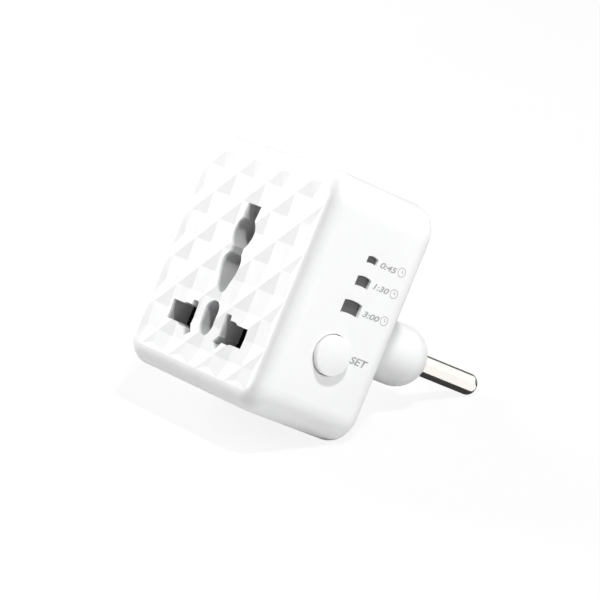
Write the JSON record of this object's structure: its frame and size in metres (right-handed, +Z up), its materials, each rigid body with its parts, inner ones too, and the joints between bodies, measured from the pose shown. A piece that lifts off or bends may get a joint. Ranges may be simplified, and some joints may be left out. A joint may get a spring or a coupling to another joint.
{
  "type": "plug-in countdown timer socket",
  "caption": "Plug-in socket timer: faceted universal outlet in front, time windows and a push button at the side, two round plug pins behind.",
  "frame": {"origin": "midway between the two plug pins, on the plane where they leave the domed plug boss", "axes": "+Y along the pins, into the wall socket; +Z up with the earth aperture at the top; +X to the right seen from the outlet face, where the button and windows are"},
  "size_m": [0.0556, 0.0644, 0.052],
  "materials": {
    "housing_plastic": "fine matte moulded white plastic",
    "cover_plastic": "fine matte moulded white plastic",
    "button_plastic": "satin white plastic",
    "smoked_window": "dark smoked polycarbonate",
    "nickel": "polished nickel-plated brass",
    "screw_steel": "zinc-plated steel",
    "carrier_plastic": "black flame-retardant plastic",
    "clamp_plastic": "white plastic",
    "contact_brass": "bright rolled strip",
    "board": "green solder mask on glass-epoxy laminate",
    "relay_case": "blue moulded case",
    "film_case": "yellow moulded case",
    "can_aluminium": "can in printed sleeve",
    "varistor_coat": "dipped epoxy coat",
    "chip_epoxy": "black epoxy",
    "fuse_body": "ceramic sleeve",
    "resistor_body": "painted ceramic",
    "led_body": "clear epoxy on a white base",
    "shroud_plastic": "black plastic",
    "switch_plastic": "black plastic",
    "plunger_plastic": "red plastic",
    "wire_brown": "PVC insulation",
    "wire_blue": "PVC insulation",
    "wire_red": "PVC insulation",
    "wire_grey": "PVC insulation"
  },
  "bodies": {
    "housing": {"front_housing": "housing_plastic", "rear_cover": "cover_plastic", "window_45": "smoked_window", "window_90": "smoked_window", "window_180": "smoked_window", "live_pin": "nickel", "neutral_pin": "nickel", "cover_screws": "screw_steel", "clamp_screws": "screw_steel", "pin_clamp": "clamp_plastic", "contact_carrier": "carrier_plastic", "live_contact": "contact_brass", "neutral_contact": "contact_brass", "control_board": "board", "power_board": "board", "relay": "relay_case", "film_capacitor": "film_case", "smoothing_capacitor": "can_aluminium", "varistor": "varistor_coat", "rectifier": "chip_epoxy", "timer_chip": "chip_epoxy", "fuse": "fuse_body", "series_resistor": "resistor_body", "led_45": "led_body", "led_90": "led_body", "led_180": "led_body", "light_shroud": "shroud_plastic", "switch_body": "switch_plastic", "live_wire": "wire_brown", "neutral_wire": "wire_blue", "neutral_feed": "wire_blue", "load_wire": "wire_red", "link_wires": "wire_grey"},
    "set_button": {"set_button": "button_plastic"},
    "switch_plunger": {"switch_plunger": "plunger_plastic"}
  },
  "joints": [
    {"name": "set_button_press", "type": "slide", "parent": "housing", "child": "set_button", "axis": [-1, 0, 0], "range_m": [0, 0.0005], "stiffness_N_per_m": 2000},
    {"name": "switch_plunger_press", "type": "slide", "parent": "housing", "child": "switch_plunger", "axis": [-1, 0, 0], "range_m": [0, 0.0005]}
  ],
  "couplings": [
    {"joint": "switch_plunger_press", "follows": "set_button_press", "ratio": 1}
  ]
}
